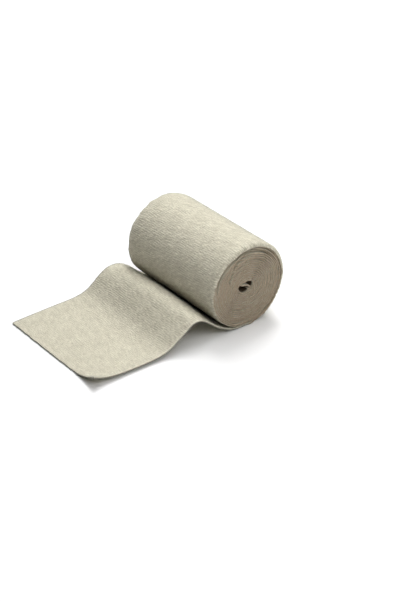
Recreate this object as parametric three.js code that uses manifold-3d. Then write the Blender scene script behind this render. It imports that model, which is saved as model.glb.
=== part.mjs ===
// A short stretch bandage roll: one woven strip wound on itself, with its loose end laid out over one soft hump.
// Units are millimetres. +Z is up, the roll's axis runs along Y with its near end at -Y, and the loose end
// runs out towards -X. The origin lies under the middle of the whole, on the surface that it rests on.
import * as THREE from 'three';
import Module from 'manifold-3d';
import { mergeVertices } from 'three/addons/utils/BufferGeometryUtils.js';

const wasm = await Module();
wasm.setup();

// Driving dimensions
const STRIP_WIDTH = 100;
const CLOTH = 1.1;
const CLEARANCE = 0.3;
const ROLL_RADIUS = 31.3;
const LOOSE_REACH = 126.5;
const AXIS_X = (LOOSE_REACH - ROLL_RADIUS) / 2;
const AXIS_HEIGHT = 29.75;

// The section is a little oval, and its long axis leans up to the right
const OVAL = 0.7;
const OVAL_LEAN = 0.48;

// The outline is a spiral: a turn raises it by the cloth and the air on it. Deeper in the end faces that step
// fades to a trace
const TURN_STEP = CLOTH + CLEARANCE;
const SPIRAL_FADES_OVER = 8;
const LEAST_SPIRAL = 0.03;

// The roll settles flat on the surface. The turns deeper in the end faces are only pressed rounder below
const SETTLED_SHARE = 0.963;
const ROUNDS_OVER = 4;

// The core sits off the roll's axis. The strip's folded start crosses it in an S and leaves a hollow on each
// side, and the face is plain between the ring around the core and the hollows
const CORE = { x: -2.5, z: 1.2, halfWidth: 5.0, halfHeight: 4.2, lean: 0.1, ring: 8.5 };
const START_FOLD = { swing: 1.5, ends: 0.93 };

// How far the two ends draw in, along the axis and towards it, and where their end planes lie. The roll's
// weight presses the shoulders flat below
const NEAR_END = { plane: -50, outward: -1, along: 3.3, inward: 3.3 };
const FAR_END = { plane: 48.6, outward: 1, along: 8.9, inward: 5.0 };
const PRESSED = { amount: 0.6, spread: 0.8 };

// The creases between the main turns on each end face: how deep under the roll's surface each lies, where its
// floor is and where the face goes on beyond it, both as stood out from the end plane
const CREASE_HALF_WIDTH = 0.5;
const NEAR_CREASES = [
  { under: 4.1, floor: -1.5, beyond: -0.6 },
  { under: 7.0, floor: -1.2, beyond: 0.1 },
  { under: 10.7, floor: -0.4, beyond: 0.4 },
  { under: 15.6, floor: -0.2, beyond: 0.5 },
  { under: 19.8, floor: 0, beyond: 0.6 },
];
const FAR_CREASES = [
  { under: 5.9, floor: -1.2, beyond: -0.4 },
  { under: 9.8, floor: -0.9, beyond: 0 },
  { under: 14.2, floor: -0.5, beyond: 0.2 },
  { under: 18.6, floor: -0.3, beyond: 0.2 },
];

// The creases are deepest up on the left of the near end and faint below
const CREASE_LEAN = 2.1;
const FAINTEST_CREASE = 0.3;

// The loose end in sections across it: how far out from the roll's axis each lies, the height of the cloth's
// underside at its near and far selvedge, and how far the near selvedge curls up beyond that
const SECTIONS = [
  { out: CLEARANCE, near: 0, far: 0, curl: 0 },
  { out: 9, near: 0, far: 0, curl: 0 },
  { out: 16, near: 1.1, far: 0.2, curl: 0 },
  { out: 22, near: 3.8, far: 3.4, curl: 0 },
  { out: 28, near: 7.3, far: 8.3, curl: 0 },
  { out: 34, near: 12.2, far: 12.4, curl: 0 },
  { out: 40, near: 16.1, far: 14.6, curl: 0 },
  { out: 46, near: 16.8, far: 14.2, curl: 0 },
  { out: 52, near: 13.4, far: 11.4, curl: 0.2 },
  { out: 58, near: 9.2, far: 7.0, curl: 0.5 },
  { out: 64, near: 4.7, far: 3.1, curl: 1.1 },
  { out: 70, near: 1.8, far: 1.1, curl: 1.5 },
  { out: 78, near: 0.2, far: 0.1, curl: 2.0 },
  { out: 88, near: 0, far: 0, curl: 1.8 },
  { out: 104, near: 0, far: 0, curl: 2.1 },
  { out: 114, near: 0, far: 0, curl: 3.2 },
  { out: 120, near: 0, far: 0, curl: 4.8 },
  { out: LOOSE_REACH, near: 0, far: 0, curl: 7.4 },
];
const CURL_STARTS_AT = -22;

// The cloth comes off a little askew: its far selvedge falls short of its near one, by this much from this far
// out, and towards the cut end it also draws in
const FALLS_SHORT = { most: 2, from: 62 };
const DRAWS_IN = { most: 1.6, from: 76 };

// How finely the curves are faceted
const STEPS_AROUND = 90;
const SHOULDER_STEPS = 5;
const STEPS_PER_SECTION = 3;
const STEPS_ACROSS = 12;
const CROWDING = 1.6;
const HOLLOW_STEPS = 12;

const woundCloth = new THREE.MeshStandardMaterial({ color: 0xc9c0ad, roughness: 0.95, metalness: 0 });
const looseCloth = new THREE.MeshStandardMaterial({ color: 0xcfc7b4, roughness: 0.95, metalness: 0 });

// A closed surface over a row of loops, with a point to close each end. The loops run counter-clockwise when
// they are seen from the first end
function loftedSolid(loops, firstCentre, lastCentre) {
  const around = loops[0].length;
  const positions = [...loops.flat(), firstCentre, lastCentre].flatMap((point) => point.toArray());
  const first = loops.length * around;
  const last = first + 1;
  const lastLoop = first - around;
  const triangles = [];
  for (let step = 0; step < around; step += 1) {
    const next = (step + 1) % around;
    triangles.push(first, step, next);
    triangles.push(last, lastLoop + next, lastLoop + step);
    for (let row = 0; row < lastLoop; row += around) {
      triangles.push(row + step, row + around + step, row + next);
      triangles.push(row + next, row + around + step, row + around + next);
    }
  }
  const geometry = new THREE.BufferGeometry();
  geometry.setAttribute('position', new THREE.Float32BufferAttribute(positions, 3));
  geometry.setIndex(triangles);
  return geometry;
}

// A geometry as a solid that can be cut
function toSolid(geometry) {
  const bare = geometry.clone();
  bare.deleteAttribute('normal');
  bare.deleteAttribute('uv');
  const merged = mergeVertices(bare, 1e-4);
  const vertProperties = new Float32Array(merged.attributes.position.array);
  const triVerts = new Uint32Array(merged.index.array);
  return new wasm.Manifold(new wasm.Mesh({ numProp: 3, vertProperties, triVerts }));
}

// A cut solid back as a geometry with flat faces
function toGeometry(solid) {
  const mesh = solid.getMesh();
  const geometry = new THREE.BufferGeometry();
  geometry.setAttribute('position', new THREE.BufferAttribute(new Float32Array(mesh.vertProperties), 3));
  geometry.setIndex(new THREE.BufferAttribute(new Uint32Array(mesh.triVerts), 1));
  const faceted = geometry.toNonIndexed();
  faceted.computeVertexNormals();
  return faceted;
}

// The roll's surface: the distance from its axis after a turn angle that starts at the bottom and runs
// up the right side. It falls by one turn's step on the way round
function surfaceRadius(turnAngle, turnStep) {
  const direction = turnAngle - Math.PI / 2;
  const spiral = ROLL_RADIUS - turnStep * turnAngle / (2 * Math.PI);
  return spiral + OVAL * Math.cos(2 * (direction - OVAL_LEAN));
}

// The share of a shoulder's draw-in that is left where the roll's weight presses on it
function shoulderShare(turnAngle) {
  const fromBottom = Math.min(turnAngle, 2 * Math.PI - turnAngle);
  return 1 - PRESSED.amount * Math.exp(-((fromBottom / PRESSED.spread) ** 2));
}

// The share of a crease's relief that shows in a direction around the axis
function creaseShare(direction) {
  const towardsLean = 0.5 + 0.5 * Math.cos(direction - CREASE_LEAN);
  return FAINTEST_CREASE + (1 - FAINTEST_CREASE) * towardsLean;
}

// A loop of the roll's outline at a depth under its surface. On a shoulder the loop only draws in. Deeper
// than the rim it also moves over towards the core, its spiral fades, and it stands out of the end plane
// by its relief. Below, a loop at the surface is cut level: on the floor to the right of the axis, above the
// loose end to its left
function rollLoop(end, along, depth, relief = 0) {
  const pastRim = Math.max(depth - end.inward, 0);
  const towardsCore = pastRim / (ROLL_RADIUS - end.inward);
  const turnStep = TURN_STEP * Math.max(1 - pastRim / SPIRAL_FADES_OVER, LEAST_SPIRAL);
  const loop = [];
  for (let step = 0; step <= STEPS_AROUND; step += 1) {
    const turnAngle = 2 * Math.PI * step / STEPS_AROUND;
    const direction = turnAngle - Math.PI / 2;
    const drawnIn = Math.min(depth, end.inward) * shoulderShare(turnAngle) + pastRim;
    const share = 1 - drawnIn / ROLL_RADIUS;
    const radius = surfaceRadius(turnAngle, turnStep);
    const level = turnAngle > Math.PI ? turnStep : 0;
    const free = radius * Math.sin(direction);
    const settled = Math.max(free, level - AXIS_HEIGHT);
    const pressed = Math.max(free, free * SETTLED_SHARE);
    const height = THREE.MathUtils.lerp(settled, pressed, Math.min(pastRim / ROUNDS_OVER, 1));
    const x = AXIS_X + share * radius * Math.cos(direction) + towardsCore * CORE.x;
    const y = along + end.outward * relief * creaseShare(direction);
    const z = AXIS_HEIGHT + share * height + towardsCore * CORE.z;
    loop.push(new THREE.Vector3(x, y, z));
  }
  return loop;
}

// The loops of one end, from where its shoulder meets the straight surface in to the ring around the core
function endLoops(end, creases) {
  const loops = [];
  for (let step = 0; step <= SHOULDER_STEPS; step += 1) {
    const angle = Math.PI / 2 * step / SHOULDER_STEPS;
    const along = end.plane - end.outward * end.along * (1 - Math.sin(angle));
    loops.push(rollLoop(end, along, end.inward * (1 - Math.cos(angle))));
  }
  let relief = 0;
  for (const crease of creases) {
    loops.push(rollLoop(end, end.plane, crease.under - CREASE_HALF_WIDTH, relief));
    loops.push(rollLoop(end, end.plane, crease.under, crease.floor));
    loops.push(rollLoop(end, end.plane, crease.under + CREASE_HALF_WIDTH, crease.beyond));
    relief = crease.beyond;
  }
  loops.push(rollLoop(end, end.plane, ROLL_RADIUS - CORE.ring, relief));
  return loops;
}

// One of the two hollows beside the folded start of the strip, as a channel right through the roll. The
// fold's centre line swings out and back like an S, and the core's own oval closes the other side
function coreHollow(side) {
  const { swing, ends } = START_FOLD;
  const foldLine = (share) => -swing * Math.sin(Math.PI * share) + side * CLOTH / 2;
  const coreLine = (share) => side * CORE.halfWidth * Math.sqrt(1 - share * share);
  const outline = [];
  for (let step = 0; step <= HOLLOW_STEPS; step += 1) {
    const share = ends * (2 * step / HOLLOW_STEPS - 1);
    outline.push(new THREE.Vector2(foldLine(share), CORE.halfHeight * share));
  }
  for (let step = HOLLOW_STEPS; step >= 0; step -= 1) {
    const share = ends * (2 * step / HOLLOW_STEPS - 1);
    outline.push(new THREE.Vector2(coreLine(share), CORE.halfHeight * share));
  }
  const channel = new THREE.ExtrudeGeometry(new THREE.Shape(outline), {
    depth: 1.2 * STRIP_WIDTH,
    bevelEnabled: false,
  });
  channel.rotateZ(CORE.lean);
  channel.rotateX(Math.PI / 2);
  channel.translate(AXIS_X + CORE.x, 0.6 * STRIP_WIDTH, AXIS_HEIGHT + CORE.z);
  return toSolid(channel);
}

function makeRoll() {
  const loops = [...endLoops(NEAR_END, NEAR_CREASES).reverse(), ...endLoops(FAR_END, FAR_CREASES)];
  const centre = (end) => new THREE.Vector3(AXIS_X + CORE.x, end.plane, AXIS_HEIGHT + CORE.z);
  const wound = toSolid(loftedSolid(loops, centre(NEAR_END), centre(FAR_END)));
  const hollowed = wound.subtract(coreHollow(1)).subtract(coreHollow(-1));
  const mesh = new THREE.Mesh(toGeometry(hollowed), woundCloth);
  mesh.name = 'roll';
  return mesh;
}

// The selvedges and the curl as curves through the sections
const nearSelvedge = new THREE.SplineCurve(SECTIONS.map((s) => new THREE.Vector2(s.out, s.near)));
const farSelvedge = new THREE.SplineCurve(SECTIONS.map((s) => new THREE.Vector2(s.out, s.far)));
const nearCurl = new THREE.SplineCurve(SECTIONS.map((s) => new THREE.Vector2(s.out, s.curl)));

// The underside of the loose end at a share of its sections, from 0 at the roll to 1 at the cut end
function undersidePoint(share, across) {
  const farShare = across / STRIP_WIDTH + 0.5;
  const near = nearSelvedge.getPoint(share);
  const height = THREE.MathUtils.lerp(near.y, farSelvedge.getPoint(share).y, farShare);
  const curlShare = Math.max(CURL_STARTS_AT - across, 0) / (CURL_STARTS_AT + STRIP_WIDTH / 2);
  const lifted = height + nearCurl.getPoint(share).y * curlShare ** 2;
  const short = FALLS_SHORT.most * Math.min(near.x / FALLS_SHORT.from, 1) * farShare;
  const drawnInShare = Math.max(near.x - DRAWS_IN.from, 0) / (LOOSE_REACH - DRAWS_IN.from);
  const y = across - DRAWS_IN.most * drawnInShare ** 2 * farShare;
  return new THREE.Vector3(AXIS_X - near.x + short, y, Math.max(lifted, 0));
}

// The cloth's top lies one thickness above its underside, square to it
function topPoint(share, across) {
  const step = 1e-3;
  const here = undersidePoint(share, across);
  const run = undersidePoint(Math.min(share + step, 1), across)
    .sub(undersidePoint(Math.max(share - step, 0), across));
  const half = STRIP_WIDTH / 2;
  const weft = undersidePoint(share, Math.min(across + 1, half))
    .sub(undersidePoint(share, Math.max(across - 1, -half)));
  const upward = new THREE.Vector3().crossVectors(weft, run).normalize();
  return here.add(upward.multiplyScalar(CLOTH));
}

// The loose end is a thin box in many steps whose points are moved onto the cloth's two sides. The steps
// across crowd towards the near selvedge, where the cloth curls
function makeLooseEnd() {
  const stepsAlong = (SECTIONS.length - 1) * STEPS_PER_SECTION;
  const sheet = new THREE.BoxGeometry(1, 1, 1, stepsAlong, STEPS_ACROSS, 1);
  const places = sheet.attributes.position;
  for (let index = 0; index < places.count; index += 1) {
    const share = 0.5 - places.getX(index);
    const across = STRIP_WIDTH * ((places.getY(index) + 0.5) ** CROWDING - 0.5);
    const side = places.getZ(index) > 0 ? topPoint : undersidePoint;
    const { x, y, z } = side(share, across);
    places.setXYZ(index, x, y, z);
  }
  const mesh = new THREE.Mesh(toGeometry(toSolid(sheet)), looseCloth);
  mesh.name = 'loose_end';
  return mesh;
}

const bandage = new THREE.Group();
bandage.add(makeRoll(), makeLooseEnd());

export default bandage;
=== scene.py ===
# %% [markdown]
# # A short stretch bandage roll
# The object is one strip of pale beige crepe cloth, 100 mm wide. Most of it is wound in a roll that lies on
# its side. The loose end comes out from under the roll, rises over one soft hump and lies flat to its cut
# edge, with the near corner lifted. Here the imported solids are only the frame: the real cloth, turn by turn,
# is worked out with numpy and laid over them, in metres and in the same place.

# %% Load the frame
import math

import bpy
import numpy as np
from mathutils import Matrix, Vector


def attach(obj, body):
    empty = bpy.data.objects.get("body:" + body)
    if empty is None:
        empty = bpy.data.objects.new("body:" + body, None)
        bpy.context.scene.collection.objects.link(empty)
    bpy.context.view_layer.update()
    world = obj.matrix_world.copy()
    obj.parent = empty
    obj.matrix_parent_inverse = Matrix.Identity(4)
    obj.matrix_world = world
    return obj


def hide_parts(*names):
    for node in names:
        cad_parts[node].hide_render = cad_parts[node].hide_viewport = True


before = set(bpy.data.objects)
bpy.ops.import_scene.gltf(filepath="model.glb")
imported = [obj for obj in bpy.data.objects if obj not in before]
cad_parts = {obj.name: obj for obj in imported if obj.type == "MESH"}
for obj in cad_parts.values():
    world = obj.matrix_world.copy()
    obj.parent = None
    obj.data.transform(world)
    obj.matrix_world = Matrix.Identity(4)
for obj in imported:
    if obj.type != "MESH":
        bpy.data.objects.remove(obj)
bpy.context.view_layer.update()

# %% [markdown]
# ## Sizes
# Every size is in millimetres, as a maker would measure the bandage, and turns into metres only when points
# go into a mesh. The roll's axis runs along Y, its near end is at -Y, and the loose end runs towards -X.

# %% Sizes of the strip and the roll
MM = 0.001
STRIP_WIDTH = 100.0
CLOTH = 1.1
REACH = 126.5
ROLL_RADIUS = 31.3
AXIS_X = (REACH - ROLL_RADIUS) / 2
AXIS_HEIGHT = 29.75
LEAN = 0.48
print("the roll's axis stands at", round(AXIS_X, 2), AXIS_HEIGHT)

# %% [markdown]
# ## Camera
# The camera comes first, because everything after it is judged through it. A long lens, a little over 30
# degrees above the surface, looks past the near end of the roll at about 38 degrees to its axis. Its place is
# worked out from those angles, the distance and a small step to the side, so no shift is needed.

# %% Camera
AZIMUTH = -0.6640
ELEVATION = 0.5353
DISTANCE = 1250.8
ASIDE = -1.473
ABOVE = -3.951
SENSOR = 36.0
FOCAL_PIXELS = 1810.0
LONG_SIDE_PIXELS = 601
FARTHEST_SEEN = 20.0

back = Vector((
    math.sin(AZIMUTH) * math.cos(ELEVATION),
    -math.cos(AZIMUTH) * math.cos(ELEVATION),
    math.sin(ELEVATION),
))
right = Vector((math.cos(AZIMUTH), math.sin(AZIMUTH), 0))
up = back.cross(right)
place = Vector((AXIS_X, 0, 0)) + back * DISTANCE + right * ASIDE + up * ABOVE
camera_data = bpy.data.cameras.new("camera")
camera_data.sensor_width = SENSOR
camera_data.lens = FOCAL_PIXELS * SENSOR / LONG_SIDE_PIXELS
camera_data.clip_end = FARTHEST_SEEN
camera = bpy.data.objects.new("camera", camera_data)
camera.matrix_world = Matrix.Translation(place * MM) @ Matrix((right, up, back)).transposed().to_4x4()
bpy.context.scene.collection.objects.link(camera)
bpy.context.scene.camera = camera
print("camera at", [round(value, 4) for value in camera.location], "lens", round(camera_data.lens, 2))

# %% [markdown]
# ## Crepe relief
# Crepe cloth gets its stretch from hard-twisted yarns that pull it up into fine ribs across the strip. The
# ribs wander, fade and break, so they can't be one clean wave. A bump in the material would do for a far
# view, but the ribs also roughen the roll's edge against the light, so they are real relief: a wave along the
# strip whose phase and height are both stirred by soft noise. The noise is a sum of cosines, which is quick
# in numpy and gives the same cloth each run.

# %% Soft noise and the crepe relief
RIB = 1.45
RIB_HEIGHT = 0.18
RIB_WANDER = 0.34
RIB_STRENGTH = {"mean": 0.62, "spread": 0.36, "least": 0.05, "most": 1.3}
CREST_POWER = 0.8
PUCKER_HEIGHT = 0.045
RIB_SUNK = RIB_HEIGHT / 4
NOISE_COLUMNS = ("size along", "size across", "seed")
NOISES = {
    "wander": (4.5, 6.0, 11),
    "strength": (1.8, 3.6, 12),
    "pucker": (1.3, 2.0, 13),
}
SAMPLE = (40, 20)


def soft_noise(u, v, size_u, size_v, seed, waves=28):
    """Sum of cos(a u + b v + c), with a and b from bell curves 1 / size wide, scaled to spread about 1."""
    draw = np.random.default_rng(seed)
    a = draw.normal(0, math.pi / size_u, waves)
    b = draw.normal(0, math.pi / size_v, waves)
    c = draw.uniform(0, 2 * math.pi, waves)
    total = np.zeros(np.broadcast(u, v).shape)
    for index in range(waves):
        total += np.cos(a[index] * u + b[index] * v + c[index])
    return total * math.sqrt(2 / waves)


def crepe_relief(u, v):
    """Height in mm at u along and v across the strip: strength x (crest wave raised to a power) + pucker.
    The wave runs along u with the rib's length, its phase moved by noise, its strength noise as well."""
    wander = RIB_WANDER * soft_noise(u, v, *NOISES["wander"])
    strength = RIB_STRENGTH["mean"] + RIB_STRENGTH["spread"] * soft_noise(u, v, *NOISES["strength"])
    strength = np.clip(strength, RIB_STRENGTH["least"], RIB_STRENGTH["most"])
    crest = (0.5 + 0.5 * np.cos(2 * math.pi * (u + wander) / RIB)) ** CREST_POWER
    pucker = PUCKER_HEIGHT * soft_noise(u, v, *NOISES["pucker"])
    return RIB_HEIGHT * strength * (crest - 0.5) + pucker


sample = crepe_relief(np.linspace(0, SAMPLE[0], 400)[:, None], np.linspace(0, SAMPLE[1], 60)[None, :])
print("crepe relief from", round(sample.min(), 3), "to", round(sample.max(), 3), "mm")
print("its noises, by", NOISE_COLUMNS, NOISES)

# %% [markdown]
# ## How the strip is wound
# Seen from the near end, the outermost turn starts at the bottom, where the loose end leaves, and runs up the
# right side. The section is a little oval, its turns shift over towards a core that sits off the axis, and
# the roll's weight presses it flat below. The innermost turns are dented in four places. All of this is one
# formula of the turn angle, because a spiral drawn by hand would need hundreds of places.

# %% The outer face of every turn
TURNS = 19
CORE = {"x": -2.7, "z": 1.1, "radius": 6.5, "oval": 0.85}
OVAL = 0.7
SETTLED = 0.963
SOFTENED = 0.5
DENT_COLUMNS = ("direction", "depth", "spread")
DENTS = (
    (-0.42, 0.8, 0.33),
    (-1.2, 0.9, 0.5),
    (-2.58, 0.75, 0.42),
    (1.87, 0.25, 0.38),
)
DENTS_FADE = 0.09


def dents(direction):
    """Sum of depth x exp(-(turn to the dent's direction / spread)^2), the turn taken the short way round."""
    total = 0
    for row in DENTS:
        dent = dict(zip(DENT_COLUMNS, row))
        turn = np.mod(direction - dent["direction"] + math.pi, 2 * math.pi) - math.pi
        total = total + dent["depth"] * np.exp(-((turn / dent["spread"]) ** 2))
    return total


def wound_face(angle):
    """The outer face of the strip at a turn angle, as x and z from the roll's axis.
    share = 1 - angle / (2 pi turns). radius = core + (roll - core) share + two ovals, the roll's leaning one
    weighed by share and the core's by 1 - share, less the dents, which fade outwards. The centre moves to the
    core's as share falls. Below, z stays above a level that shrinks with radius."""
    share = 1 - angle / (2 * math.pi * TURNS)
    direction = angle - math.pi / 2
    oval = OVAL * share * np.cos(2 * (direction - LEAN)) + CORE["oval"] * (1 - share) * np.cos(2 * direction)
    mean = CORE["radius"] + (ROLL_RADIUS - CORE["radius"]) * share
    radius = mean + oval - dents(direction) * np.exp(-np.maximum(share, 0) / DENTS_FADE)
    lowest = mean + OVAL * share * math.cos(2 * (-math.pi / 2 - LEAN)) - CORE["oval"] * (1 - share)
    free = radius * np.sin(direction) + SETTLED * lowest
    settled = 0.5 * (free + np.sqrt(free**2 + SOFTENED**2))
    sunk = (1 - SETTLED) * lowest
    settled -= 0.5 * (np.sqrt(sunk**2 + SOFTENED**2) - sunk)
    x = (1 - share) * CORE["x"] + radius * np.cos(direction)
    z = (1 - share) * CORE["z"] + settled - SETTLED * lowest
    return np.stack([x, z], axis=-1)


width, height = np.ptp(wound_face(np.linspace(0, 2 * math.pi, 360)), axis=0)
print("the roll is", round(width, 1), "mm wide and", round(height, 1), "mm high, in", TURNS, "turns")

# %% [markdown]
# ## One line to the folded start
# In the core the start of the strip folds back sharply at the upper left, crosses down to the right and tucks
# under itself, which leaves a hollow on each side of it. No spiral does that, so the fold is a smooth curve
# through a short table of places. It carries on from the last turn, and the whole winding is one line with
# the cloth's middle on it, with closer steps where it bends more.

# %% The winding as one line
LAST_DIRECTION = 3.5
FOLD_COLUMNS = ("x", "z")
FOLD_ROWS = (
    (-5.9, 4.75),
    (-6.9, 4.4),
    (-7.45, 4.0),
    (-7.4, 3.45),
    (-6.8, 3.2),
    (-5.4, 2.8),
    (-4.2, 2.45),
    (-3.0, 2.45),
    (-1.9, 1.85),
    (-0.9, 1.0),
    (0.1, 0.2),
    (0.75, -0.5),
    (0.5, -1.3),
    (-0.4, -1.6),
    (-1.15, -1.15),
    (-1.3, -0.4),
)
OUTER_STEPS = 800
INNER_STEP = 1.8
DENSE_STEPS = 12000
FOLD_STEPS = 500
FINER_WITHIN = 17
FINEST_SHARE = 0.17
DEPTH_PER_ANGLE = (ROLL_RADIUS - CORE["radius"]) / (2 * math.pi * TURNS)


def outward_of(line):
    """The unit normals of a line that runs anticlockwise: its tangent turned a quarter clockwise."""
    tangent = np.gradient(line, axis=0)
    tangent /= np.linalg.norm(tangent, axis=1, keepdims=True)
    return np.stack([tangent[:, 1], -tangent[:, 0]], axis=-1)


def smooth_through(points, share):
    """A Catmull-Rom curve through evenly counted points at shares 0 to 1, the cubic that the solids use too:
    (2p - 2q + a + b) t^3 + (3q - 3p - 2a - b) t^2 + a t + p, where a and b are half the neighbours' steps."""
    points = np.asarray(points, float)
    place = np.asarray(share) * (len(points) - 1)
    index = np.clip(place.astype(int), 0, len(points) - 2)
    t = (place - index)[:, None]
    here = points[index]
    after = points[index + 1]
    slope_here = (after - points[np.maximum(index - 1, 0)]) / 2
    slope_after = (points[np.minimum(index + 2, len(points) - 1)] - here) / 2
    cubic = (2 * here - 2 * after + slope_here + slope_after) * t**3
    square = (3 * after - 3 * here - 2 * slope_here - slope_after) * t**2
    return cubic + square + slope_here * t + here


def length_along(line):
    """Running length of a line of points: the sum of the steps between them."""
    return np.concatenate([[0], np.cumsum(np.linalg.norm(np.diff(line, axis=0), axis=1))])


def wound_line(angles):
    """The strip's middle line at these turn angles: half a cloth inside its outer face."""
    face = wound_face(angles)
    return face - outward_of(face) * CLOTH / 2


def along_strip(middle, depth, start):
    """What a piece of the winding needs at each step: place, outward normal, depth, direction and length."""
    return {
        "middle": middle,
        "outward": outward_of(middle),
        "depth": depth,
        "direction": np.arctan2(middle[:, 1], middle[:, 0]),
        "run": start + length_along(middle),
    }


outer_angles = np.linspace(0, 2 * math.pi, OUTER_STEPS)
outer_turn_line = along_strip(wound_line(outer_angles), DEPTH_PER_ANGLE * outer_angles, 0)

dense_angles = np.linspace(2 * math.pi, 2 * math.pi * TURNS + LAST_DIRECTION, DENSE_STEPS)
dense_middle = wound_line(dense_angles)
core_place = np.array([CORE["x"], CORE["z"]])
fold = smooth_through([dense_middle[-1], *FOLD_ROWS], np.linspace(0, 1, FOLD_STEPS))[1:]
dense_depth = DEPTH_PER_ANGLE * np.concatenate([dense_angles, np.full(len(fold), dense_angles[-1])])
dense_middle = np.concatenate([dense_middle, fold])
dense_run = length_along(dense_middle)
finer_inside = np.clip(np.hypot(*(dense_middle - core_place).T) / FINER_WITHIN, FINEST_SHARE, 1)
step_count = np.concatenate([[0], np.cumsum(np.diff(dense_run) / (INNER_STEP * finer_inside[1:]))])
picked = np.linspace(0, step_count[-1], int(step_count[-1]))
inner_middle = np.stack([np.interp(picked, step_count, dense_middle[:, k]) for k in (0, 1)], axis=-1)
inner_depth = np.interp(picked, step_count, dense_depth)
inner_line = along_strip(inner_middle, inner_depth, outer_turn_line["run"][-1])
print("wound length", round(inner_line["run"][-1]), "mm,", len(picked), "steps inside")
print("the fold goes through", len(FOLD_ROWS), "places, by", FOLD_COLUMNS)

# %% [markdown]
# ## How much the ends curl
# A wound bandage is never a clean cylinder. Its selvedges are tighter than its middle, so the outermost turns
# curl in over the ends like nested quarter rounds, in a tight lip at the near end and a wide, soft one at the
# far end. Both curl less at the bottom and down the left side, so an end has two full sizes and a share of
# them that goes by the direction around the axis.

# %% The share of the curl
NEAR_END = {"plane": -50.0, "outward": -1, "along": 3.3, "inward": 3.3, "seed": 21}
FAR_END = {"plane": 48.6, "outward": 1, "along": 8.9, "inward": 5.0, "seed": 31}
NEAR_END["left"] = {"less": 0.76, "from": 4.25, "to": 4.95}
FAR_END["left"] = {"less": 0.45, "from": 4.6, "to": 5.5}
LESS_BELOW = {"share": 0.6, "spread": 0.8}
CURL_BEGINS_OVER = 11


def smooth_step(value, low, high):
    """3 t^2 - 2 t^3, where t runs from 0 at low to 1 at high."""
    t = np.clip((value - low) / (high - low), 0, 1)
    return t * t * (3 - 2 * t)


def curl_share(end, line):
    """The share of an end's full curl: 1, less a bell around the bottom, and never more than 1 less the end's
    own step down its left side, where the outermost turn's near selvedge shows from the front."""
    angle = np.mod(line["direction"] + math.pi / 2, 2 * math.pi)
    from_bottom = np.minimum(angle, 2 * math.pi - angle)
    share = 1 - LESS_BELOW["share"] * np.exp(-((from_bottom / LESS_BELOW["spread"]) ** 2))
    left = end["left"]
    share = np.minimum(share, 1 - left["less"] * smooth_step(angle, left["from"], left["to"]))
    return share * smooth_step(line["run"], 0, CURL_BEGINS_OVER)


for name, end in (("near", NEAR_END), ("far", FAR_END)):
    share = curl_share(end, outer_turn_line)
    print("share of the curl at the", name, "end:", round(share.mean(), 2), "on average")

# %% [markdown]
# ## How far each selvedge stands out
# The turns under the curled lip end short of it: that is the dark crease around the end face. Deeper in, each
# turn's selvedge stands a little in or out, and the near face has two finer creases, a hollow and a swelling.
# Flat discs with a drawn spiral would miss the small shadows that show the turns, so every turn gets its own
# place from short tables, and noise makes no two alike.

# %% How far the selvedges stand in or out
LIP_SHOWS = (0.3, 1)
BELOW_LIP = (-0.5, 0.15, 1.3, 2.4)
DEEP_UNDER_LIP = (-2.6, -2.5, -0.9)
SHALLOW_UNDER_LIP = (-0.25, -0.3, -0.3)
INNERMOST = {"depth": 26, "stands": 0.1}
NEAR_LIP_OPENS = (0.8, 1.25)
STRAIGHT_COLUMNS = ("depth", "stands")
STRAIGHT_ROWS = (
    (0, 0.15),
    (1.3, -0.1),
    (4, -0.25),
    (12, -0.1),
    (26, 0.1),
)
SECOND_CREASE_COLUMNS = ("direction", "radius")
SECOND_CREASE = (
    (0.45, 26.0),
    (0.68, 25.6),
    (0.96, 25.1),
    (1.36, 24.4),
    (1.71, 23.8),
    (2.04, 21.8),
    (2.44, 19.3),
    (2.9, 17.5),
)
SECOND_CREASE_SIZE = {"deep": 1.5, "wide": 0.75, "dome": 0.35, "dome_over": 1.5}
SECOND_CREASE_SHOWS = {"from": (0.3, 0.7), "to": (2.5, 3.05)}
THIRD_CREASE = {"radius": 19.3, "deep": 0.9, "wide": 0.8}
THIRD_CREASE_SHOWS = {"from": (0.7, 1.1), "to": (2.1, 2.5)}
SWELL_COLUMNS = ("x", "z", "stands", "spread squared")
SWELL_ROWS = (
    (-1.4, -7.0, -1.0, 7.0),
    (-5.0, 7.5, 0.5, 20.0),
)
EDGE_NOISE_COLUMNS = ("height", "size")
FACE_NOISE = (0.26, 5)
TURN_NOISE = (0.16, 22)
FINE_NOISE = (0.10, 3.5)


def under_lip(depth, lip, stands):
    """How far the selvedges under a curled lip stand out: minus the depth, then the crease, then level."""
    depths = (0, *(lip + step for step in BELOW_LIP), INNERMOST["depth"])
    return np.interp(depth, depths, (0, -(lip + BELOW_LIP[0]), *stands, INNERMOST["stands"]))


def shows_between(direction, shows):
    """1 between two directions and 0 beyond them, with a smooth step at each."""
    low, high = shows["to"]
    return smooth_step(direction, *shows["from"]) * smooth_step(-direction, -high, -low)


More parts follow.
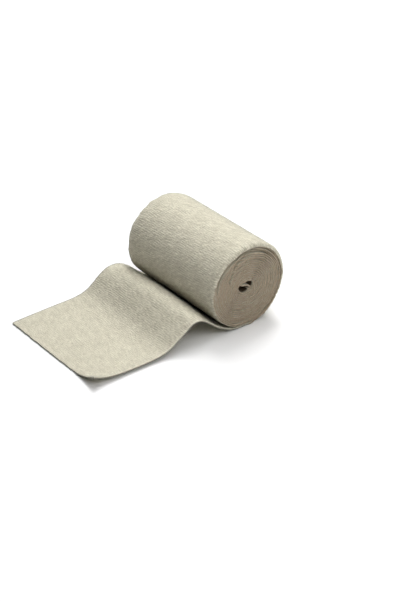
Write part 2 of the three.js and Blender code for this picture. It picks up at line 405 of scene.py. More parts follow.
def crease_near_face(stand, line):
    """The near face's other forms, taken off or added in turn: the second crease with the dome inside it, the
    third crease, and a hollow and a swelling, both height x exp(-(distance squared) / (spread squared))."""
    x, z = line["middle"].T
    radius = np.hypot(x, z)
    second = dict(zip(SECOND_CREASE_COLUMNS, zip(*SECOND_CREASE)))
    crease = np.interp(line["direction"], second["direction"], second["radius"])
    shows = shows_between(line["direction"], SECOND_CREASE_SHOWS)
    size = SECOND_CREASE_SIZE
    stand -= size["deep"] * shows * np.exp(-(((radius - crease) / size["wide"]) ** 2))
    stand += size["dome"] * shows * smooth_step(crease - radius, 0, size["dome_over"])
    above = shows_between(line["direction"], THIRD_CREASE_SHOWS)
    third = (radius - THIRD_CREASE["radius"]) / THIRD_CREASE["wide"]
    stand -= THIRD_CREASE["deep"] * above * np.exp(-(third**2))
    for row in SWELL_ROWS:
        swell = dict(zip(SWELL_COLUMNS, row))
        away = (x - swell["x"]) ** 2 + (z - swell["z"]) ** 2
        stand += swell["stands"] * np.exp(-away / swell["spread squared"])
    return stand


def stand_out(end, line, curl):
    """How far each selvedge stands beyond the end plane: the straight edge's own table where there is no
    curl, the crease under the lip where there is, the near face's other forms, and noise on every turn."""
    depth = line["depth"]
    deep = under_lip(depth, end["inward"], DEEP_UNDER_LIP)
    shallow = under_lip(depth, end["inward"], SHALLOW_UNDER_LIP)
    open_here = smooth_step(line["direction"], *NEAR_LIP_OPENS) if end is NEAR_END else 1.0
    curled = shallow + (deep - shallow) * open_here
    straight_table = dict(zip(STRAIGHT_COLUMNS, zip(*STRAIGHT_ROWS)))
    straight = np.interp(depth, straight_table["depth"], straight_table["stands"])
    stand = straight + (curled - straight) * smooth_step(curl, *LIP_SHOWS)
    if end is NEAR_END:
        stand = crease_near_face(stand, line)
    x, z = line["middle"].T
    face, turn, fine = (dict(zip(EDGE_NOISE_COLUMNS, row)) for row in (FACE_NOISE, TURN_NOISE, FINE_NOISE))
    stand += face["height"] * soft_noise(x, z, face["size"], face["size"], end["seed"] + 2)
    slow = turn["height"] * soft_noise(line["run"], 0, turn["size"], 1, end["seed"])
    stand += slow + fine["height"] * soft_noise(line["run"], 0, fine["size"], 1, end["seed"] + 1)
    return stand


standing = stand_out(NEAR_END, inner_line, curl_share(NEAR_END, inner_line))
print("near selvedges inside stand from", round(standing.min(), 2), "to", round(standing.max(), 2), "mm")

# %% [markdown]
# ## The section across the strip
# A section across the strip is straight in the middle, and at each end it follows a part of an ellipse, whose
# two sizes depend on how deep the turn lies and on the direction around the axis. A turn that curls in ends
# almost square to the axis, and the others only droop a little.

# %% The section across the strip
CURL_FULL_AT = 1.2
SOFT_DROP = 0.85
SOFT_DROP_DEPTH = 8.0
SELVEDGE_THINS = 0.08
LEAST_CURL_ANGLE = 0.87
MOST_CURL_ANGLE = 1.48


def end_curl(end, line, steps):
    """The outer face from where it leaves the straight: y = start + a sin t, drop = b (1 - cos t), scaled so
    that both are reached at the last t. The normal is square to that, and the cloth thins to its edge."""
    share = curl_share(end, line)
    nested = end["inward"] * share - line["depth"]
    soft = SOFT_DROP * np.clip(1 - line["depth"] / SOFT_DROP_DEPTH, 0, 1)
    soft = soft * smooth_step(line["run"], 0, CURL_BEGINS_OVER)
    drop = np.maximum(nested, soft)[:, None]
    reach = (end["along"] + stand_out(end, line, share))[:, None]
    curled = np.clip(nested / CURL_FULL_AT, 0, 1)[:, None]
    last = LEAST_CURL_ANGLE + (MOST_CURL_ANGLE - LEAST_CURL_ANGLE) * curled
    t = np.linspace(0, 1, steps + 1)[None, 1:]
    start = end["plane"] - end["outward"] * end["along"]
    y = start + end["outward"] * reach * np.sin(last * t) / np.sin(last)
    w = -drop * (1 - np.cos(last * t)) / (1 - np.cos(last))
    along_y = end["outward"] * reach * np.cos(last * t) / np.sin(last)
    along_w = -drop * np.sin(last * t) / (1 - np.cos(last))
    size = np.hypot(along_y, along_w)
    return {
        "y": y,
        "w": w,
        "tangent": np.stack([along_y, along_w], axis=-1) / size[..., None],
        "normal": end["outward"] * np.stack([-along_w, along_y], axis=-1) / size[..., None],
        "cloth": CLOTH * (1 - SELVEDGE_THINS * t) + 0 * y,
    }


def section_faces(line, middle_columns, curl_steps):
    """The outer face across the strip from the near selvedge: places, normals, thickness and end tangents."""
    count = len(line["run"])
    near = end_curl(NEAR_END, line, curl_steps)
    far = end_curl(FAR_END, line, curl_steps)
    first = NEAR_END["plane"] + NEAR_END["along"]
    last = FAR_END["plane"] - FAR_END["along"]
    y = np.broadcast_to(np.linspace(first, last, middle_columns), (count, middle_columns))
    up = np.broadcast_to(np.array([0.0, 1.0]), (count, middle_columns, 2))
    return {
        "y": np.concatenate([near["y"][:, ::-1], y, far["y"]], axis=1),
        "w": np.concatenate([near["w"][:, ::-1], 0 * y, far["w"]], axis=1),
        "normal": np.concatenate([near["normal"][:, ::-1], up, far["normal"]], axis=1),
        "cloth": np.concatenate([near["cloth"][:, ::-1], CLOTH + 0 * y, far["cloth"]], axis=1),
        "near_tangent": near["tangent"][:, -1],
        "far_tangent": far["tangent"][:, -1],
    }


probe = section_faces(outer_turn_line, middle_columns=3, curl_steps=6)
reach_near, reach_far = probe["y"][:, 0].min(), probe["y"][:, -1].max()
print("selvedges of the outer turn from", round(reach_near, 2), "to", round(reach_far, 2))

# %% [markdown]
# ## From rows of points to a closed mesh
# Every piece of cloth here is a loft: a closed loop around the cloth's section, repeated along the strip. The
# loop goes over one face, round the far selvedge, back over the other face and round the near selvedge. One
# helper turns such a block of points into a mesh with foreach_set, gives it a UV map that holds the place on
# the flat strip, and stores three masks for the materials: how close a point is to a cut or woven edge, how
# high it lies on the crepe relief, whose troughs get painted shade, and whether it lines the hollows in the
# core, where no light gets in, so that they get painted shade.

# %% Loft a closed piece
EDGE_SHARES = np.array([0.2, 0.5, 0.8])
SELVEDGE_BULGE = 0.28


def rounded_edge(start, end, tangent, cloth):
    """Points from one face to the other round a selvedge: the chord plus tangent x bulge x 4 q (1 - q)."""
    q = EDGE_SHARES[None, :, None]
    chord = start[:, None] + (end - start)[:, None] * q
    return chord + tangent[:, None] * (SELVEDGE_BULGE * cloth)[:, None, None] * 4 * q * (1 - q)


def lofted_piece(name, points, strip_uv, masks, caps):
    """points, strip_uv and each mask are blocks of rows along the strip by columns around its section. Each
    four neighbours make a face, columns closing on themselves, and caps are extra faces of four or more."""
    rows, columns = points.shape[:2]
    row = np.arange(rows - 1)[:, None] * columns
    column = np.arange(columns)[None, :]
    after = (column + 1) % columns
    quads = np.stack([row + column, row + after, row + columns + after, row + columns + column], axis=-1)
    faces = [*quads.reshape(-1, 4), *caps]
    corners = np.concatenate(faces)
    totals = np.array([len(face) for face in faces])
    place = points.reshape(-1, 3)
    triangle = place[quads.reshape(-1, 4)]
    volume = np.einsum("ij,ij->", triangle[:, 0], np.cross(triangle[:, 1], triangle[:, 2]))
    volume += np.einsum("ij,ij->", triangle[:, 0], np.cross(triangle[:, 2], triangle[:, 3]))
    starts = np.concatenate([[0], np.cumsum(totals)[:-1]])
    if volume < 0:
        corners = np.concatenate([face[::-1] for face in faces])
    mesh = bpy.data.meshes.new(name)
    mesh.vertices.add(len(place))
    mesh.vertices.foreach_set("co", (place * MM).astype(np.float32).ravel())
    mesh.loops.add(len(corners))
    mesh.loops.foreach_set("vertex_index", corners.astype(np.int32))
    mesh.polygons.add(len(totals))
    mesh.polygons.foreach_set("loop_start", starts.astype(np.int32))
    mesh.polygons.foreach_set("loop_total", totals.astype(np.int32))
    mesh.polygons.foreach_set("use_smooth", np.ones(len(totals), bool))
    uv_map = mesh.uv_layers.new(name="strip")
    uv_map.data.foreach_set("uv", (strip_uv.reshape(-1, 2)[corners] / STRIP_WIDTH).astype(np.float32).ravel())
    for mask, values in masks.items():
        layer = mesh.attributes.new(mask, "FLOAT", "POINT")
        layer.data.foreach_set("value", values.astype(np.float32).ravel())
    mesh.update(calc_edges=True)
    mesh.validate()
    piece = bpy.data.objects.new(name, mesh)
    bpy.context.scene.collection.objects.link(piece)
    triangles = int((totals - 2).sum())
    print(name, triangles, "triangles, solid", round(abs(volume) / 6 / 1000, 2), "cubic cm")
    return piece


print("a selvedge is rounded at shares", list(EDGE_SHARES), "by", round(SELVEDGE_BULGE * CLOTH, 2), "mm")

# %% [markdown]
# ## The wound pieces
# The winding is made as two pieces. The outermost turn is seen from outside, so it has a fine grid and its
# ribs as relief. Of the turns inside only the selvedges show, so they need few columns and no relief. In the
# core they get painted shade, because a real hollow of rough cloth lets out almost no light.

# %% Build the outer turn and the inner turns
EDGE_ACROSS = np.array([0.3, 0.55, 0.8])
RELIEF_SPAN = 1.35
FACE_BORDER = 0.5
CORE_SHADE_DEPTH = 23.5
SHADE_FADES_OVER = 0.3
SHADE_STARTS = (0.3, 1.9)


def relief_shade_mask(relief):
    """0.5 + relief / (rib height x span), near 0 in the deepest troughs and 1 on the highest crests. The
    material paints shade into the troughs by it.
    """
    return 0.5 + relief / RIB_HEIGHT / RELIEF_SPAN


def core_shade(line, points):
    """The mask for the core's painted shade: 1 on the innermost turn from a little way in behind its
    selvedges, 0 on every other turn and edge.
    """
    innermost = smooth_step(line["depth"], CORE_SHADE_DEPTH, CORE_SHADE_DEPTH + SHADE_FADES_OVER)
    behind = np.minimum(points[..., 1] - NEAR_END["plane"], FAR_END["plane"] - points[..., 1])
    return innermost[:, None] * smooth_step(behind, *SHADE_STARTS)


def wound_piece(name, line, middle_columns, back_columns, curl_steps, with_relief):
    """A length of the winding. A point is middle + w outward in the end plane, with y along the axis."""
    face = section_faces(line, middle_columns, curl_steps)
    columns = face["y"].shape[1]
    kept = np.unique(np.concatenate([
        np.arange(curl_steps + 1),
        np.linspace(curl_steps, columns - curl_steps - 1, back_columns).astype(int),
        np.arange(columns - curl_steps - 1, columns),
    ]))
    flat = np.stack([face["y"], face["w"]], axis=-1)
    step = np.linalg.norm(np.diff(flat, axis=1), axis=-1)
    v = np.concatenate([np.zeros((len(flat), 1)), np.cumsum(step, axis=1)], axis=1)
    v += face["y"][:, [curl_steps]] - v[:, [curl_steps]]
    u = line["run"][:, None] + 0 * v
    relief = crepe_relief(u, v) * with_relief
    front = flat + face["normal"] * (relief - RIB_SUNK * with_relief)[..., None]
    rear = (flat - face["normal"] * face["cloth"][..., None])[:, kept[::-1]]
    far_edge = rounded_edge(front[:, -1], rear[:, 0], face["far_tangent"], face["cloth"][:, -1])
    near_edge = rounded_edge(rear[:, -1], front[:, 0], face["near_tangent"], face["cloth"][:, 0])
    around = np.concatenate([front, far_edge, rear, near_edge], axis=1)
    w = around[..., 1] + CLOTH / 2
    middle, outward = line["middle"][:, None], line["outward"][:, None]
    x = AXIS_X + middle[..., 0] + w * outward[..., 0]
    z = AXIS_HEIGHT + middle[..., 1] + w * outward[..., 1]
    points = np.stack([x, around[..., 0], np.maximum(z, 0)], axis=-1)
    beyond, before = v[:, [-1]] + EDGE_ACROSS, v[:, [0]] - EDGE_ACROSS[::-1]
    across = np.concatenate([v, beyond, v[:, kept[::-1]], before], axis=1)
    strip_uv = np.stack([line["run"][:, None] + 0 * across, across], axis=-1)
    on_edge = np.zeros(around.shape[1])
    rim = columns + len(EDGE_SHARES)
    on_edge[columns:rim] = 1
    on_edge[rim + len(kept):] = 1
    on_edge[[0, columns - 1, rim, rim + len(kept) - 1]] = FACE_BORDER
    high = np.full(around.shape[:2], 0.5)
    high[:, :columns] = relief_shade_mask(relief)
    loop = np.arange(around.shape[1])
    last_row = (len(points) - 1) * around.shape[1]
    caps = [loop[::-1], last_row + loop]
    masks = {"edge": on_edge + 0 * high, "relief": np.clip(high, 0, 1), "shade": core_shade(line, points)}
    return lofted_piece(name, points, strip_uv, masks, caps)


outer_grid = {"middle_columns": 54, "back_columns": 4, "curl_steps": 8, "with_relief": 1.0}
inner_grid = {"middle_columns": 2, "back_columns": 2, "curl_steps": 6, "with_relief": 0.0}
outer_turn = wound_piece("outer_turn", outer_turn_line, **outer_grid)
inner_turns = wound_piece("inner_turns", inner_line, **inner_grid)

# %% [markdown]
# ## The loose end
# The loose end is the same strip laid out. Its shape is a table of sections across it: how far out from the
# roll's axis each lies, how high the cloth's underside is at its near and far selvedge, and how far the near
# selvedge curls up beyond that. Smooth curves run through the sections, and halfway across the hump is a
# little fuller than at its selvedges.

# %% Sections of the loose end
SECTION_COLUMNS = ("out", "near", "far", "curl")
SECTIONS = (
    (0, 0, 0, 0),
    (9, 0, 0, 0),
    (16, 1.5, 0.2, 0),
    (22, 4.3, 4.0, 0),
    (28, 8.0, 9.1, 0),
    (34, 13.0, 12.9, 0),
    (40, 16.8, 14.6, 0),
    (46, 17.1, 14.2, 0),
    (52, 13.3, 11.4, 0.2),
    (58, 9.2, 7.0, 0.5),
    (64, 4.7, 3.1, 1.1),
    (70, 1.8, 1.1, 1.5),
    (78, 0.2, 0.1, 2.0),
    (88, 0, 0, 1.8),
    (104, 0, 0, 2.1),
    (114, 0, 0, 3.2),
    (120, 0, 0, 4.8),
    (REACH, 0, 0, 7.4),
)
CURL_STARTS_AT = -22.0
FALLS_SHORT = {"most": 2.0, "from": 62.0}
DRAWS_IN = {"most": 1.6, "from": 76.0}
BULGE_COLUMNS = ("out", "height", "spread")
BULGES = (
    (32.0, 2.5, 8.0),
    (47.0, 1.3, 8.0),
)
LOOSE_ROWS = 540
LOOSE_COLUMNS = 66
DENSE_SECTIONS = 4000
SELVEDGE_STEPS = (0, 0.45, 1.0, 1.8)


def underside(share, across):
    """The cloth's underside. Height = near + (far - near) f + curl c^2 + bulges x 4 f (1 - f), where f is the
    share of the way to the far selvedge, c the share from where the curl starts to the near one, and each
    bulge a bell in the distance out. The far side falls short and draws in towards the cut end."""
    section = dict(zip(SECTION_COLUMNS, smooth_through(SECTIONS, share).T[..., None]))
    out, near, far = section["out"], section["near"], section["far"]
    f = across / STRIP_WIDTH + 0.5
    c = np.maximum(CURL_STARTS_AT - across, 0) / (CURL_STARTS_AT + STRIP_WIDTH / 2)
    drawn = np.maximum(out - DRAWS_IN["from"], 0) / (REACH - DRAWS_IN["from"])
    x = AXIS_X - out + FALLS_SHORT["most"] * np.minimum(out / FALLS_SHORT["from"], 1) * f
    y = across - DRAWS_IN["most"] * drawn**2 * f
    bells = [dict(zip(BULGE_COLUMNS, row)) for row in BULGES]
    bulge = sum(bell["height"] * np.exp(-(((out - bell["out"]) / bell["spread"]) ** 2)) for bell in bells)
    z = np.maximum(near + (far - near) * f + section["curl"] * c**2 + bulge * 4 * f * (1 - f), 0)
    return np.stack([x, y, z], axis=-1)


dense_share = np.linspace(0, 1, DENSE_SECTIONS)
dense_out = underside(dense_share, np.zeros((1, 1)))[:, 0]
dense_length = length_along(dense_out)
LOOSE_LENGTH = dense_length[-1]
print("the loose end is", round(LOOSE_LENGTH, 1), "mm long, laid flat")

# %% [markdown]
# ## Give the loose end its cloth
# The cloth's other face is one thickness away along the surface's own normal, which keeps it even over the
# hump, and the crepe relief stands on both. Where the strip lies flat its relief is pressed down to about
# half. Each selvedge has a fine raised bead, because the weft turns back there and the weave is denser, and
# the last rows thin towards the cut, which wanders a little.

# %% Build the loose end
CUT_COLUMNS = ("back from the cut", "share of the cloth")
CUT_ROUNDING = (
    (0.5, 1.0),
    (0.22, 0.93),
    (0.06, 0.78),
    (0.0, 0.5),
)
CUT_GAP = 0.25
CUT_UNEVEN = {"height": 0.14, "over": 3, "size": 3.0, "seed": 41}
SELVEDGE_BEAD = {"height": 0.24, "width": 0.75}
PRESSED = {"from": 60, "to": 84, "relief": 0.55}
BELOW = {"shift": 50, "relief": 0.5}
# painted shade: how much of the dark rim tone goes along the far selvedge, the near one and the cut
FAR_RIM_SHADE = 0.6
NEAR_RIM_SHADE = (1, 1, 1, 0.75, 0.1)
CUT_RIM_SHADE = 0.8


def loose_end_masks(relief, relief_below, bead):
    """The masks around the section: top face, far edge, underside, near edge. The edge mask, which puts on the
    rim's painted shade, is 1 round both selvedges and under the cut, and less just beside them. The relief
    mask is raised by half on the bead."""
    rows, columns = relief.shape
    rim = columns + len(EDGE_SHARES)
    on_edge = np.zeros((rows, rim + columns + len(EDGE_SHARES)))
    on_edge[:, columns - 2] = FAR_RIM_SHADE
    on_edge[:, columns - 1:rim + 2] = 1
    on_edge[:, rim + columns - 2:] = NEAR_RIM_SHADE
    on_edge[-1, :] = CUT_RIM_SHADE
    on_edge[-3:-1, rim:rim + columns] = 1
    high = np.full(on_edge.shape, 0.5)
    high[:, :columns] = relief_shade_mask(relief) + 0.5 * bead
    high[:, rim:rim + columns] = relief_shade_mask(relief_below[:, ::-1])
    return {"edge": on_edge, "relief": np.clip(high, 0, 1), "shade": np.zeros(on_edge.shape)}


def both_caps(rows, columns, width):
    """Faces that close the two ends: a four-cornered one between each two columns of the top face and the
    same two of the underside, and one of more corners at each rounded selvedge."""
    rim = columns + len(EDGE_SHARES)
    first = [[j + 1, j, rim + columns - 1 - j, rim + columns - 2 - j] for j in range(columns - 1)]
    first.append([columns - 1, *range(columns, rim + 1)][::-1])
    first.append([rim + columns - 1, *range(rim + columns, width), 0][::-1])
    last_row = (rows - 1) * width
    last = [[last_row + corner for corner in face[::-1]] for face in first]
    return [np.array(face) for face in first + last]


def loose_end_piece():
    """Rows evenly along the strip, closer at the cut, by columns across it. Both faces are the underside +
    normal x height, and the last rows thin to round the cut."""
    even = np.linspace(0, LOOSE_LENGTH - CUT_ROUNDING[0][0] - CUT_GAP, LOOSE_ROWS)
    lengths = np.concatenate([even, [LOOSE_LENGTH - back for back, _ in CUT_ROUNDING]])
    thick = np.concatenate([np.ones(len(even)), [share for _, share in CUT_ROUNDING]])[:, None]
    share = np.interp(lengths, dense_length, dense_share)
    half = STRIP_WIDTH / 2 - SELVEDGE_BULGE * CLOTH
    border = half - np.array(SELVEDGE_STEPS)
    inside = np.linspace(-border[-1], border[-1], LOOSE_COLUMNS - 2 * len(border) + 2)[1:-1]
    across = np.concatenate([-border, inside, border[::-1]])[None, :]
    under = underside(share, across)
    run = np.gradient(under, lengths, axis=0)
    weft = np.gradient(under, across[0], axis=1)
    normal = np.cross(weft, run)
    normal /= np.linalg.norm(normal, axis=-1, keepdims=True)
    u = -lengths[:, None] + 0 * across
    v = across + 0 * u
    near_cut = smooth_step(lengths[:, None], LOOSE_LENGTH - CUT_UNEVEN["over"], LOOSE_LENGTH)
    ragged = soft_noise(0 * v, v, 1, CUT_UNEVEN["size"], CUT_UNEVEN["seed"])
    under[..., 0] += CUT_UNEVEN["height"] * near_cut * ragged
    bead = np.exp(-(((half - np.abs(v)) / SELVEDGE_BEAD["width"]) ** 2))
    pressed = 1 - (1 - PRESSED["relief"]) * smooth_step(lengths[:, None], PRESSED["from"], PRESSED["to"])
    relief = pressed * crepe_relief(u, v) + SELVEDGE_BEAD["height"] * bead * thick
    relief_below = pressed * crepe_relief(u + BELOW["shift"], v)
    middle = under + normal * CLOTH / 2
    top = middle + normal * (thick * CLOTH / 2 + relief - RIB_SUNK)[..., None]
    base = middle - normal * (thick * CLOTH / 2 + BELOW["relief"] * relief_below)[..., None]
    tangent = weft / np.linalg.norm(weft, axis=-1, keepdims=True)
    cloth = CLOTH * thick[:, 0]
    far_edge = rounded_edge(top[:, -1], base[:, -1], tangent[:, -1], cloth)
    near_edge = rounded_edge(base[:, 0], top[:, 0], -tangent[:, 0], cloth)
    points = np.concatenate([top, far_edge, base[:, ::-1], near_edge], axis=1)
    points[..., 2] = np.maximum(points[..., 2], 0)
    beyond, before = v[:, [-1]] + EDGE_ACROSS, v[:, [0]] - EDGE_ACROSS[::-1]
    across_all = np.concatenate([v, beyond, v[:, ::-1], before], axis=1)
    strip_uv = np.stack([-lengths[:, None] + 0 * across_all, across_all], axis=-1)
    masks = loose_end_masks(relief, relief_below, bead)
    caps = both_caps(len(points), LOOSE_COLUMNS, points.shape[1])
    return lofted_piece("loose_end_cloth", points, strip_uv, masks, caps)


loose_end = loose_end_piece()
print("its last rows, by", CUT_COLUMNS, CUT_ROUNDING)

# %% [markdown]
# ## The crepe cloth as a material
# Close up the cloth is a plain weave of cotton yarns about half a millimetre apart, warp along the strip and
# weft across it. One node group works that out from the flat place on the strip, which the UV map holds, so
# the yarns follow every fold and turn. It gives a height for a bump and four masks: the weave, a grain of
# yarns that are thicker here and thinner there, drawn out across the strip, a slow unevenness, and the few
# dark flecks that unbleached cotton has. The materials choose the colours.

# %% Node group for the weave
WARP_SPACING = 0.46
WEFT_SPACING = 0.52
YARN_WANDER = {"Scale": 0.45, "Detail": 1.0}
YARN_WANDER_REACH = (1.1, 1.1, 0.0)
NOISE_MASK_COLUMNS = ("scale", "detail", "low", "high")
FUZZ = (3.2, 3.0, 0.25, 0.75)
FUZZ_HEIGHT = 0.35
GRAIN = (1.0, 1.5, 0.3, 0.7)
GRAIN_STRETCH = (1.15, 0.6, 1.0)
GRAIN_HEIGHT = 1.3
UNEVEN = (1.0, 2.0, 0.3, 0.7)
UNEVEN_STRETCH = (0.3, 0.14, 1.0)
FLECKS = (1.15, 1.0, 0.72, 0.8)


def add_node(tree, kind, inputs, **settings):
    """A node with its settings, and its inputs by name or number: a socket is linked, a value is set."""
    node = tree.nodes.new(kind)
    for name, value in settings.items():
        setattr(node, name, value)
    for key, value in inputs.items():
        if isinstance(value, bpy.types.NodeSocket):
            tree.links.new(value, node.inputs[key])
        else:
            node.inputs[key].default_value = value
    return node


def math_value(tree, operation, *values, clamp=False):
    """A Math node fed by sockets or numbers."""
    inputs = dict(enumerate(values))
    return add_node(tree, "ShaderNodeMath", inputs, operation=operation, use_clamp=clamp).outputs[0]


def vector_value(tree, operation, *values):
    """A Vector Math node fed by sockets or vectors."""
    return add_node(tree, "ShaderNodeVectorMath", dict(enumerate(values)), operation=operation).outputs[0]


def noise_mask(tree, place, scale, detail, low, high):
    """A Noise texture stretched so that low gives 0 and high gives 1."""
    noise = add_node(tree, "ShaderNodeTexNoise", {"Scale": scale, "Detail": detail, "Vector": place})
    ends = {"From Min": low, "From Max": high, "Value": noise.outputs["Fac"]}
    return add_node(tree, "ShaderNodeMapRange", ends).outputs["Result"]


def build_weave_group():
    """Height = weave + fuzz + grain, where weave = (s1 s2 + |s1| + |s2|) / 4 and s = sin(pi place / spacing),
    s1 along the strip and s2 across it, and the masks that the materials mix their colours by."""
    tree = bpy.data.node_groups.new("crepe_weave", "ShaderNodeTree")
    tree.interface.new_socket("Strip place", in_out="INPUT", socket_type="NodeSocketVector")
    for name in ("Height", "Weave", "Grain", "Unevenness", "Flecks"):
        tree.interface.new_socket(name, in_out="OUTPUT", socket_type="NodeSocketFloat")
    place = tree.nodes.new("NodeGroupInput").outputs["Strip place"]
    wander = add_node(tree, "ShaderNodeTexNoise", {**YARN_WANDER, "Vector": place})
    centred = vector_value(tree, "SUBTRACT", wander.outputs["Color"], (0.5, 0.5, 0.5))
    moved = vector_value(tree, "MULTIPLY_ADD", centred, YARN_WANDER_REACH, place)
    split = add_node(tree, "ShaderNodeSeparateXYZ", {0: moved})
    weft_turn = math_value(tree, "MULTIPLY", split.outputs["X"], math.pi / WEFT_SPACING)
    warp_turn = math_value(tree, "MULTIPLY", split.outputs["Y"], math.pi / WARP_SPACING)
    waves = [math_value(tree, "SINE", turn) for turn in (weft_turn, warp_turn)]
    rounds = [math_value(tree, "MULTIPLY", math_value(tree, "ABSOLUTE", wave), 0.25) for wave in waves]
    checker = math_value(tree, "MULTIPLY", math_value(tree, "MULTIPLY", *waves), 0.25)
    weave = math_value(tree, "ADD", checker, math_value(tree, "ADD", *rounds), clamp=True)
    fuzz = noise_mask(tree, place, *FUZZ)
    grain = noise_mask(tree, vector_value(tree, "MULTIPLY", place, GRAIN_STRETCH), *GRAIN)
    uneven = noise_mask(tree, vector_value(tree, "MULTIPLY", place, UNEVEN_STRETCH), *UNEVEN)
    flecks = noise_mask(tree, place, *FLECKS)
    fine = math_value(tree, "ADD", weave, math_value(tree, "MULTIPLY", fuzz, FUZZ_HEIGHT))
    height = math_value(tree, "ADD", fine, math_value(tree, "MULTIPLY", grain, GRAIN_HEIGHT))
    results = {"Height": height, "Weave": weave, "Grain": grain, "Unevenness": uneven, "Flecks": flecks}
    add_node(tree, "NodeGroupOutput", results)
    print("weave group:", len(tree.nodes), "nodes, noises by", NOISE_MASK_COLUMNS)
    return tree


weave_group = build_weave_group()

# %% [markdown]
# ## Two materials from the group
# Each takes the strip place in millimetres from the UV map, colours the cloth between a trough tone and a
# crest tone by the relief mask, the darker trough tone being painted shade, and shades it with the weave, the
# grain and the unevenness. On the roll's end faces the colour is browner and darker, and the loose end's thin
# rim is painted dark grey as shade. The hollows in the core get painted shade, and so does a narrow outline
# where the rough cloth turns away from the eye. Cotton has no gloss, so it is very rough, with a little sheen
# from its loose fibres.

# %% The cloth materials
CREST = (0.73, 0.705, 0.585)
# painted shade: the rib troughs are coloured darker than the crests
TROUGH_SHADE = (0.455, 0.43, 0.335)
END_TONE = (0.405, 0.328, 0.238)
# painted shade: the loose end's rim and the lines along its edges are coloured dark grey
RIM_PAINTED_SHADE = (0.22, 0.21, 0.18)
FLECK = (0.33, 0.26, 0.18)
# painted shade: the hollows in the core are coloured nearly black
CORE_PAINTED_SHADE = (0.10, 0.066, 0.036)
# painted shade: a dark outline where the surface is seen edge on
GRAZING_PAINTED_SHADE = (0.13, 0.135, 0.12)
GRAZING_STARTS = 0.72
GRAZING_MOST = 0.9
SHADES = {
    "Weave": ((0.84, 0.83, 0.81), (1.06, 1.06, 1.06)),
    "Grain": ((0.93, 0.925, 0.92), (1.07, 1.07, 1.07)),
    "Unevenness": ((0.90, 0.89, 0.88), (1.06, 1.06, 1.06)),
}
FLECK_SHARE = 0.4
ROUGHNESS = {"To Min": 0.88, "To Max": 0.97}
BUMP_STRENGTH = 0.8
GLOSS = {"Specular IOR Level": 0.2, "Sheen Weight": 0.12, "Sheen Roughness": 0.6}


def mix_colour(tree, share, first, second, blend="MIX"):
    """A Mix Color node fed by sockets or colours."""
    first, second = ((*value, 1.0) if isinstance(value, tuple) else value for value in (first, second))
    inputs = {0: share, 6: first, 7: second}
    return add_node(tree, "ShaderNodeMix", inputs, data_type="RGBA", blend_type=blend).outputs[2]


def mask_attribute(tree, name):
    """The value that a mesh attribute holds at each point."""
    return add_node(tree, "ShaderNodeAttribute", {}, attribute_name=name).outputs["Fac"]


def crepe_material(name, bump_height, edge_tone):
    """Base colour = lerp(trough, crest, relief), the trough tone being painted shade, mixed with the edge tone
    on edges, shaded by the weave, the grain and the slow unevenness, flecked, and with painted shade inside
    the core and where the surface is seen edge on."""
    material = bpy.data.materials.new(name)
    material.use_nodes = True
    tree = material.node_tree
    uv = add_node(tree, "ShaderNodeUVMap", {}, uv_map="strip")
    in_widths = {0: uv.outputs[0], "Scale": STRIP_WIDTH}
    millimetres = add_node(tree, "ShaderNodeVectorMath", in_widths, operation="SCALE")
    strip_place = {"Strip place": millimetres.outputs[0]}
    weave = add_node(tree, "ShaderNodeGroup", strip_place, node_tree=weave_group)
    # painted shade: the troughs of the ribs take the darker tone
    relief_shade_tone = mix_colour(tree, mask_attribute(tree, "relief"), TROUGH_SHADE, CREST)
    # on the loose end the edge tone is painted shade along its rim
    colour = mix_colour(tree, mask_attribute(tree, "edge"), relief_shade_tone, edge_tone)
    for mask, (low, high) in SHADES.items():
        shade = mix_colour(tree, weave.outputs[mask], low, high)
        colour = mix_colour(tree, 1.0, colour, shade, "MULTIPLY")
    fleck_share = math_value(tree, "MULTIPLY", weave.outputs["Flecks"], FLECK_SHARE)
    flecked = mix_colour(tree, fleck_share, colour, FLECK)
    # painted shade inside the core's hollows
    shaded_core = mix_colour(tree, mask_attribute(tree, "shade"), flecked, CORE_PAINTED_SHADE)
    # painted shade: the outline darkens where the surface turns away from the eye
    grazing = add_node(tree, "ShaderNodeLayerWeight", {"Blend": 0.5})
    turned_away = {"From Min": GRAZING_STARTS, "To Max": GRAZING_MOST, "Value": grazing.outputs["Facing"]}
    outline = add_node(tree, "ShaderNodeMapRange", turned_away)
    roughness = add_node(tree, "ShaderNodeMapRange", {**ROUGHNESS, "Value": weave.outputs["Weave"]})
    raised = {"Strength": BUMP_STRENGTH, "Distance": bump_height * MM, "Height": weave.outputs["Height"]}
    shader = tree.nodes["Principled BSDF"]
    for socket, value in GLOSS.items():
        shader.inputs[socket].default_value = value
    outlined = mix_colour(tree, outline.outputs["Result"], shaded_core, GRAZING_PAINTED_SHADE)
    tree.links.new(outlined, shader.inputs["Base Color"])
    tree.links.new(roughness.outputs["Result"], shader.inputs["Roughness"])
    tree.links.new(add_node(tree, "ShaderNodeBump", raised).outputs["Normal"], shader.inputs["Normal"])
    print(name, len(tree.nodes), "nodes")
    return material


wound_cloth = crepe_material("wound_cloth", bump_height=0.16, edge_tone=END_TONE)
loose_cloth = crepe_material("loose_cloth", bump_height=0.13, edge_tone=RIM_PAINTED_SHADE)
for piece, material in ((outer_turn, wound_cloth), (inner_turns, wound_cloth), (loose_end, loose_cloth)):
    piece.data.materials.append(material)

# %% [markdown]
# ## Put the pieces on the frame
# Both wound pieces stand in for the imported roll, which is hidden, and the loose end, a sheet laid on the
# surface, stands in for the imported loose end, which is hidden too. All of them ride on the one body.

# %% Ride and replace
for piece in (outer_turn, inner_turns):
    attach(piece, "root")
    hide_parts("roll")
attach(loose_end, "root")
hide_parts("loose_end")

# %% [markdown]
# ## The surface below
# The bandage lies on a plain white surface. Its lights hang close and fall off with distance, so far away the
# surface gets its white from a glow of its own. The glow starts past the bandage and its shadow, so that it
# doesn't change the light on the cloth.

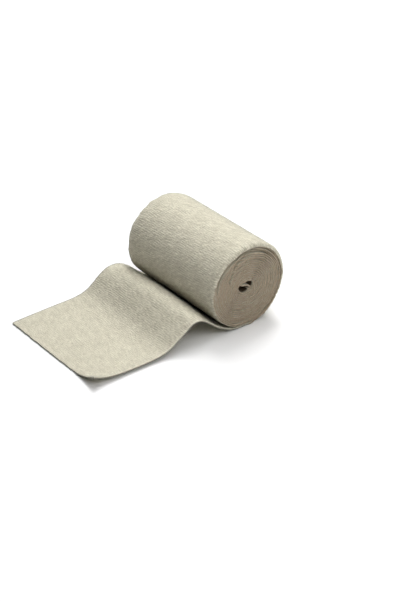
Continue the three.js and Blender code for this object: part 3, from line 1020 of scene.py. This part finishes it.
# %% Floor
FLOOR_SIZE = 6.0
FLOOR_DROP = 0.0002
FLOOR_WHITE = 0.9
FLOOR_ROUGHNESS = 0.9
GLOW_STARTS = 0.2
GLOW_FULL = 0.95
FAR_WHITE = 0.85

half = FLOOR_SIZE / 2
floor_mesh = bpy.data.meshes.new("floor")
floor_corners = [(x, y, -FLOOR_DROP) for x, y in ((-half, -half), (half, -half), (half, half), (-half, half))]
floor_mesh.from_pydata(floor_corners, [], [(0, 1, 2, 3)])
floor = bpy.data.objects.new("floor", floor_mesh)
bpy.context.scene.collection.objects.link(floor)
floor_material = bpy.data.materials.new("floor_white")
floor_material.use_nodes = True
floor_tree = floor_material.node_tree
floor_shader = floor_tree.nodes["Principled BSDF"]
floor_shader.inputs["Base Color"].default_value = (FLOOR_WHITE, FLOOR_WHITE, FLOOR_WHITE, 1)
floor_shader.inputs["Roughness"].default_value = FLOOR_ROUGHNESS
floor_place = floor_tree.nodes.new("ShaderNodeTexCoord").outputs["Object"]
from_middle = add_node(floor_tree, "ShaderNodeVectorMath", {0: floor_place}, operation="LENGTH")
glow_ends = {"From Min": GLOW_STARTS, "From Max": GLOW_FULL, "To Max": FAR_WHITE}
far_glow = add_node(floor_tree, "ShaderNodeMapRange", {**glow_ends, "Value": from_middle.outputs["Value"]})
floor_shader.inputs["Emission Color"].default_value = (1, 1, 1, 1)
floor_tree.links.new(far_glow.outputs["Result"], floor_shader.inputs["Emission Strength"])
floor.data.materials.append(floor_material)
print("the floor's glow runs from", GLOW_STARTS, "to", GLOW_FULL, "m from its middle")

# %% [markdown]
# ## Lights and the view beyond
# The strongest light is a large soft one behind the bandage on the right, so the side of the roll and the
# near end are in gentle shade and the shadow falls softly towards the viewer. One hangs close overhead and
# draws the dark line under the roll, and two in front, left and right, keep the shaded parts readable. The
# view beyond the surface is white to the camera alone, and to the cloth it is a dim room.

# %% Lights and world
ROOM_LIGHT = 0.01
LIGHT_COLUMNS = ("name", "place", "size", "watts")
LIGHTS = (
    ("overhead", (0.10, 0.0, 0.60), 0.40, 1.8),
    ("front_left", (-0.15, -0.35, 0.50), 0.40, 1.0),
    ("front_right", (0.50, -0.70, 0.50), 0.60, 2.1),
    ("behind_right", (0.70, 0.70, 1.27), 0.90, 21.5),
)
for row in LIGHTS:
    given = dict(zip(LIGHT_COLUMNS, row))
    light = bpy.data.lights.new(given["name"], "AREA")
    light.shape = "DISK"
    light.size = given["size"]
    light.energy = given["watts"]
    lamp = bpy.data.objects.new(given["name"], light)
    turn = Vector(given["place"]).to_track_quat("Z", "Y").to_matrix().to_4x4()
    lamp.matrix_world = Matrix.Translation(given["place"]) @ turn
    bpy.context.scene.collection.objects.link(lamp)

world = bpy.data.worlds.new("studio")
world.use_nodes = True
sky = world.node_tree.nodes["Background"]
sky.inputs["Color"].default_value = (1, 1, 1, 1)
seen = world.node_tree.nodes.new("ShaderNodeLightPath").outputs["Is Camera Ray"]
shown = {"To Min": ROOM_LIGHT, "To Max": FAR_WHITE, "Value": seen}
brightness = add_node(world.node_tree, "ShaderNodeMapRange", shown)
world.node_tree.links.new(brightness.outputs["Result"], sky.inputs["Strength"])
bpy.context.scene.world = world
bpy.context.scene.view_settings.view_transform = "Standard"
bpy.context.scene.view_settings.exposure = 0.0
print("lights", [light[0] for light in LIGHTS])
